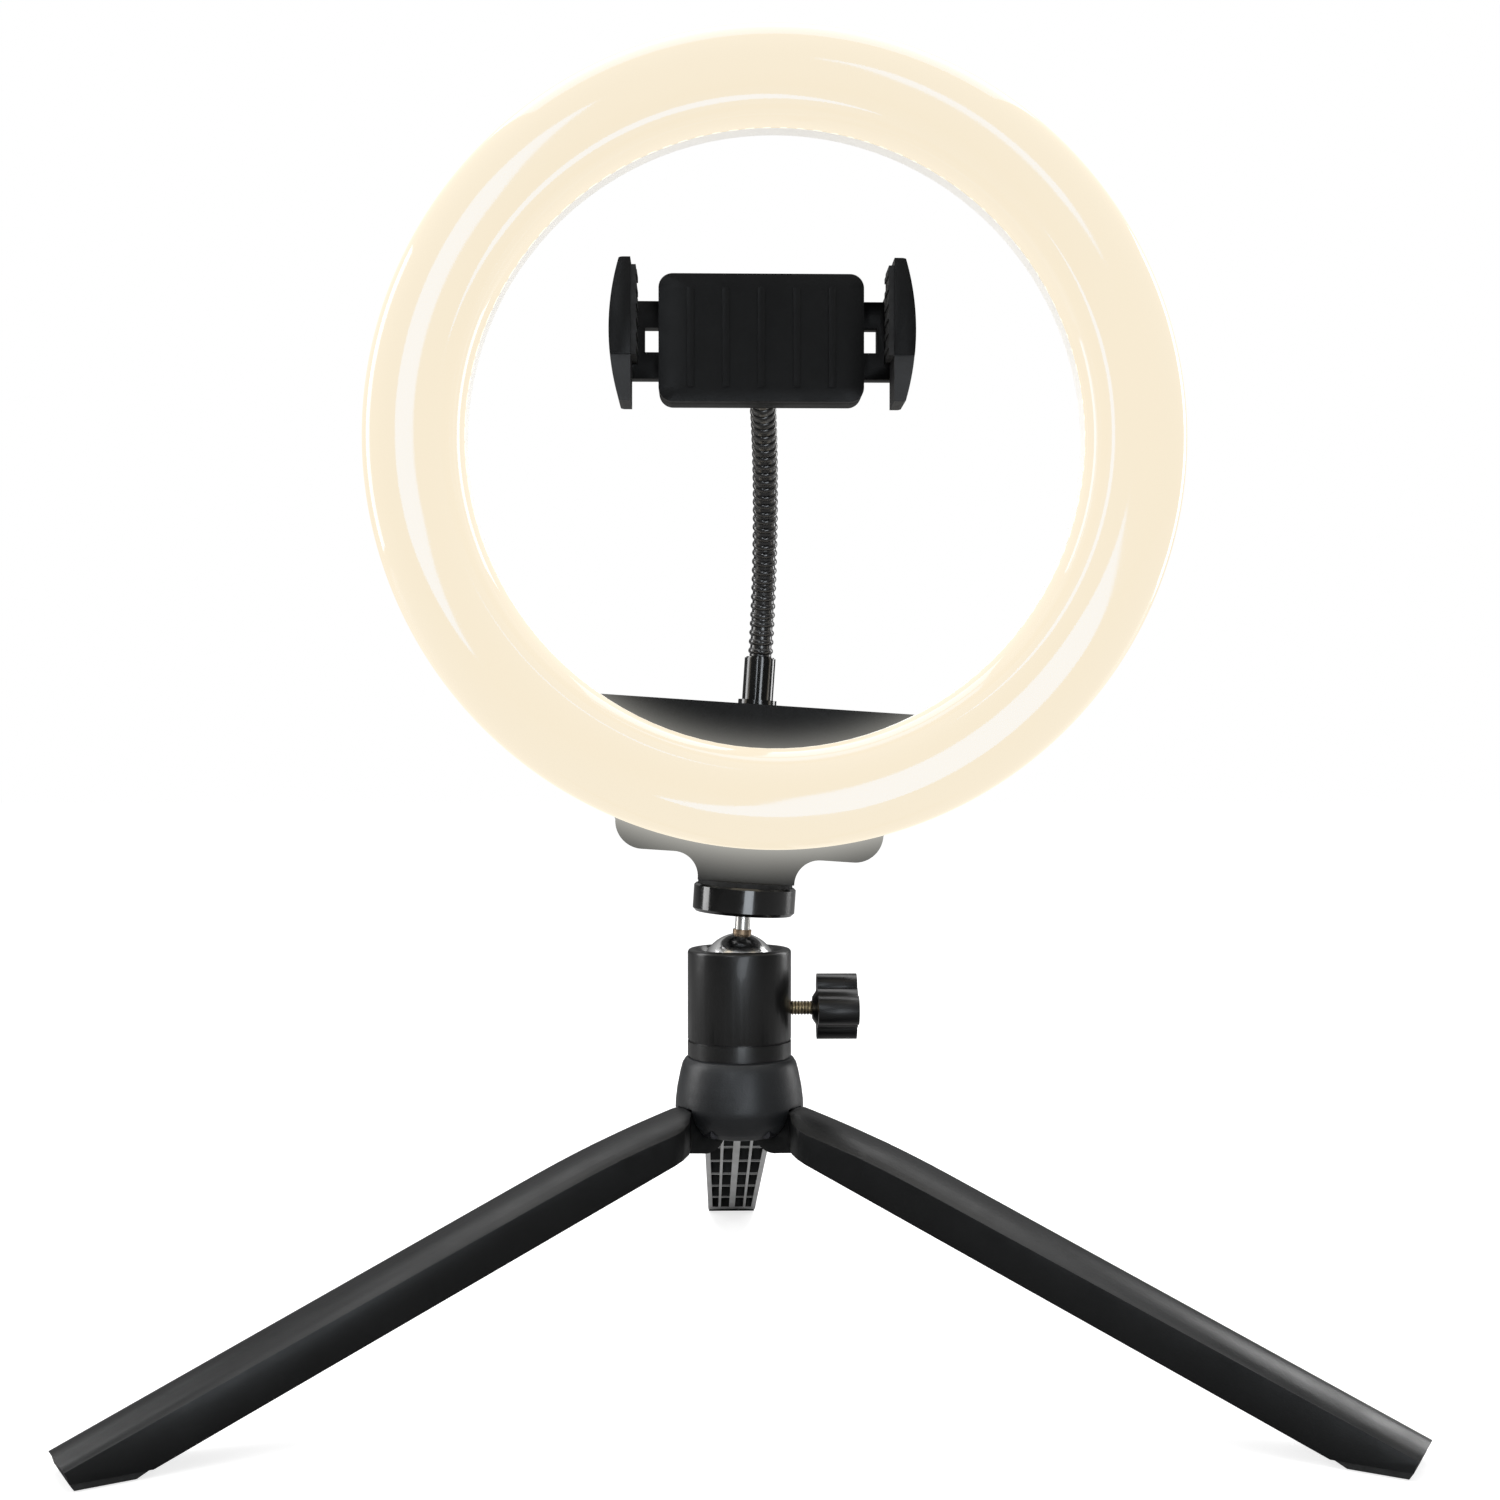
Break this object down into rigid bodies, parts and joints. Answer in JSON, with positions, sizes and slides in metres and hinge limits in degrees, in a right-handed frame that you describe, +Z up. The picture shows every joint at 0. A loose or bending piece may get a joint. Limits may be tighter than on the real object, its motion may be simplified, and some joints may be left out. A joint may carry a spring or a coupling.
{
  "type": "ring light",
  "caption": "Ring light on a folding table tripod with a ball head and a gooseneck phone holder.",
  "frame": {"origin": "on the table, below the middle of the object's box; the hub's axis stands 49.8 mm in front of it", "axes": "+Z up, -Y to the front (the lit side), +X to the right seen from the front; the back leg points along +Y"},
  "size_m": [0.3792, 0.3295, 0.424],
  "materials": {
    "ring_diffuser": "milky translucent moulding, lit warm white",
    "ring_back_shell": "white moulded plastic",
    "led_board": "white circuit board",
    "warm_leds": "warm white LED chips",
    "cool_leds": "cool white LED chips",
    "ring_screws": "zinc plated screws",
    "ring_mount_screws": "zinc plated screws",
    "bracket_front_shell": "black moulded plastic, fine satin texture",
    "bracket_rear_shell": "black moulded plastic, fine satin texture",
    "bracket_screws": "blackened screws",
    "driver_board": "green circuit board with parts",
    "power_inlet": "black inlet with a metal pin",
    "thread_insert": "brass threaded insert",
    "platform_stud": "steel stud",
    "platform_pad": "black rubber pad",
    "platform_disc": "glossy black",
    "ball_stem": "bright steel",
    "stem_collar": "brown metal collar",
    "ball": "polished chrome",
    "ball_seat": "nylon",
    "ballhead_body": "glossy black",
    "lock_screw": "nickel brass thread",
    "lock_knob": "satin black plastic",
    "ballhead_base": "glossy black",
    "tripod_bolt": "zinc plated bolt",
    "hub": "dark grey satin plastic",
    "hub_cap": "dark grey satin plastic",
    "hinge_pins": "steel pins",
    "gooseneck_ferrule": "black painted metal",
    "gooseneck_end": "black painted metal",
    "holder_ball": "plated ball",
    "holder_stem": "plated stem",
    "holder_seat": "nylon",
    "holder_nut": "black plastic, ribbed",
    "holder_socket": "black plastic",
    "holder_housing": "black plastic",
    "holder_face": "black plastic",
    "holder_rods": "steel rods",
    "holder_springs": "spring steel",
    "holder_screws": "blackened screws",
    "leg_left": "dark satin plastic, ribbed underneath",
    "foot_pad_left": "black rubber",
    "leg_right": "dark satin plastic, ribbed underneath",
    "foot_pad_right": "black rubber",
    "leg_back": "dark satin plastic, ribbed underneath",
    "foot_pad_back": "black rubber",
    "gooseneck_segment_1": "black coated wound hose",
    "gooseneck_segment_2": "black coated wound hose",
    "gooseneck_segment_3": "black coated wound hose",
    "gooseneck_segment_4": "black coated wound hose",
    "gooseneck_segment_5": "black coated wound hose",
    "gooseneck_segment_6": "black coated wound hose",
    "gooseneck_segment_7": "black coated wound hose",
    "gooseneck_segment_8": "black coated wound hose",
    "jaw_left": "black plastic",
    "jaw_pad_left": "black rubber, ribbed",
    "jaw_foot_left": "dark grey plastic",
    "jaw_right": "black plastic",
    "jaw_pad_right": "black rubber, ribbed",
    "jaw_foot_right": "dark grey plastic"
  },
  "bodies": {
    "tripod": {"hub": "hub", "hub_cap": "hub_cap", "tripod_bolt": "tripod_bolt", "hinge_pins": "hinge_pins", "ballhead_base": "ballhead_base", "ballhead_body": "ballhead_body", "ball_seat": "ball_seat"},
    "leg_left": {"leg_left": "leg_left", "foot_pad_left": "foot_pad_left"},
    "leg_right": {"leg_right": "leg_right", "foot_pad_right": "foot_pad_right"},
    "leg_back": {"leg_back": "leg_back", "foot_pad_back": "foot_pad_back"},
    "lock": {"lock_screw": "lock_screw", "lock_knob": "lock_knob"},
    "ball": {"ball": "ball"},
    "collar": {"stem_collar": "stem_collar"},
    "head": {"ball_stem": "ball_stem", "platform_disc": "platform_disc", "platform_pad": "platform_pad", "platform_stud": "platform_stud", "thread_insert": "thread_insert", "bracket_front_shell": "bracket_front_shell", "bracket_rear_shell": "bracket_rear_shell", "bracket_screws": "bracket_screws", "driver_board": "driver_board", "power_inlet": "power_inlet", "ring_diffuser": "ring_diffuser", "ring_back_shell": "ring_back_shell", "led_board": "led_board", "warm_leds": "warm_leds", "cool_leds": "cool_leds", "ring_screws": "ring_screws", "ring_mount_screws": "ring_mount_screws", "gooseneck_ferrule": "gooseneck_ferrule"},
    "neck_1": {"gooseneck_segment_1": "gooseneck_segment_1"},
    "neck_2": {"gooseneck_segment_2": "gooseneck_segment_2"},
    "neck_3": {"gooseneck_segment_3": "gooseneck_segment_3"},
    "neck_4": {"gooseneck_segment_4": "gooseneck_segment_4"},
    "neck_5": {"gooseneck_segment_5": "gooseneck_segment_5"},
    "neck_6": {"gooseneck_segment_6": "gooseneck_segment_6"},
    "neck_7": {"gooseneck_segment_7": "gooseneck_segment_7"},
    "neck_8": {"gooseneck_segment_8": "gooseneck_segment_8", "gooseneck_end": "gooseneck_end", "holder_stem": "holder_stem"},
    "holder_ball": {"holder_ball": "holder_ball"},
    "holder_nut": {"holder_seat": "holder_seat", "holder_nut": "holder_nut"},
    "holder": {"holder_socket": "holder_socket", "holder_housing": "holder_housing", "holder_face": "holder_face", "holder_rods": "holder_rods", "holder_springs": "holder_springs", "holder_screws": "holder_screws"},
    "jaw_left": {"jaw_left": "jaw_left", "jaw_pad_left": "jaw_pad_left", "jaw_foot_left": "jaw_foot_left"},
    "jaw_right": {"jaw_right": "jaw_right", "jaw_pad_right": "jaw_pad_right", "jaw_foot_right": "jaw_foot_right"}
  },
  "joints": [
    {"name": "leg_left_fold", "type": "hinge", "parent": "tripod", "child": "leg_left", "pos_m": [-0.01256, -0.05705, 0.074], "axis": [0.5, -0.866, 0], "range_deg": [0, 68]},
    {"name": "leg_right_fold", "type": "hinge", "parent": "tripod", "child": "leg_right", "pos_m": [0.01256, -0.05705, 0.074], "axis": [0.5, 0.866, 0], "range_deg": [0, 68]},
    {"name": "leg_back_fold", "type": "hinge", "parent": "tripod", "child": "leg_back", "pos_m": [0, -0.0353, 0.074], "axis": [-1, 0, 0], "range_deg": [0, 68]},
    {"name": "lock_knob_turn", "type": "hinge", "parent": "tripod", "child": "lock", "pos_m": [0.025, -0.0498, 0.112], "axis": [1, 0, 0], "range_deg": [0, 360]},
    {"name": "head_roll", "type": "hinge", "parent": "tripod", "child": "ball", "pos_m": [0, -0.0498, 0.1238], "axis": [0, 1, 0], "range_deg": [-33.8, 26.2]},
    {"name": "head_tilt", "type": "hinge", "parent": "ball", "child": "collar", "pos_m": [0, -0.0498, 0.1238], "axis": [0.9978, 0, -0.0663], "range_deg": [-90, 30]},
    {"name": "head_spin", "type": "hinge", "parent": "collar", "child": "head", "pos_m": [0, -0.0498, 0.1238], "axis": [0.0663, 0, 0.9978], "continuous": true},
    {"name": "neck_bend_1", "type": "hinge", "parent": "head", "child": "neck_1", "pos_m": [0.0068, -0.0498, 0.22617], "axis": [0.9987, 0, -0.0506], "range_deg": [-10, 5]},
    {"name": "neck_sway_1", "type": "hinge", "parent": "neck_1", "child": "neck_2", "pos_m": [0.00739, -0.05125, 0.23777], "axis": [0.0105, 0.9692, 0.2459], "range_deg": [-7, 7]},
    {"name": "neck_bend_2", "type": "hinge", "parent": "neck_2", "child": "neck_3", "pos_m": [0.00778, -0.05413, 0.2491], "axis": [0.9998, -0.0058, -0.0198], "range_deg": [-10, 5]},
    {"name": "neck_sway_2", "type": "hinge", "parent": "neck_3", "child": "neck_4", "pos_m": [0.00797, -0.05839, 0.26], "axis": [0.0126, 0.8789, 0.4769], "range_deg": [-7, 7]},
    {"name": "neck_bend_3", "type": "hinge", "parent": "neck_4", "child": "neck_5", "pos_m": [0.00796, -0.06397, 0.27028], "axis": [0.9998, -0.019, 0.0086], "range_deg": [-10, 5]},
    {"name": "neck_sway_3", "type": "hinge", "parent": "neck_5", "child": "neck_6", "pos_m": [0.00775, -0.07078, 0.27979], "axis": [0.0062, 0.7345, 0.6786], "range_deg": [-7, 7]},
    {"name": "neck_bend_4", "type": "hinge", "parent": "neck_6", "child": "neck_7", "pos_m": [0.00734, -0.07872, 0.28838], "axis": [0.9987, -0.0388, 0.0329], "range_deg": [-10, 5]},
    {"name": "neck_sway_4", "type": "hinge", "parent": "neck_7", "child": "neck_8", "pos_m": [0.00674, -0.08765, 0.29592], "axis": [-0.0084, 0.5452, 0.8382], "range_deg": [-7, 7]},
    {"name": "holder_pan", "type": "hinge", "parent": "neck_8", "child": "holder_ball", "pos_m": [0.00478, -0.1125, 0.31206], "axis": [0, 0, 1], "range_deg": [-20, 20]},
    {"name": "holder_tilt", "type": "hinge", "parent": "holder_ball", "child": "holder_nut", "pos_m": [0.00478, -0.1125, 0.31206], "axis": [1, 0, 0], "range_deg": [-70, 5]},
    {"name": "holder_rotate", "type": "hinge", "parent": "holder_nut", "child": "holder", "pos_m": [0.00478, -0.1125, 0.31206], "axis": [0, -1, 0], "continuous": true},
    {"name": "jaw_left_slide", "type": "slide", "parent": "holder", "child": "jaw_left", "axis": [-1, 0, 0], "range_m": [-0.0054, 0.01]},
    {"name": "jaw_right_slide", "type": "slide", "parent": "holder", "child": "jaw_right", "axis": [1, 0, 0], "range_m": [-0.0054, 0.01]}
  ],
  "couplings": [
    {"joint": "neck_bend_2", "follows": "neck_bend_1", "ratio": 1},
    {"joint": "neck_sway_2", "follows": "neck_sway_1", "ratio": 1},
    {"joint": "neck_bend_3", "follows": "neck_bend_1", "ratio": 1},
    {"joint": "neck_sway_3", "follows": "neck_sway_1", "ratio": 1},
    {"joint": "neck_bend_4", "follows": "neck_bend_1", "ratio": 1},
    {"joint": "neck_sway_4", "follows": "neck_sway_1", "ratio": 1}
  ]
}
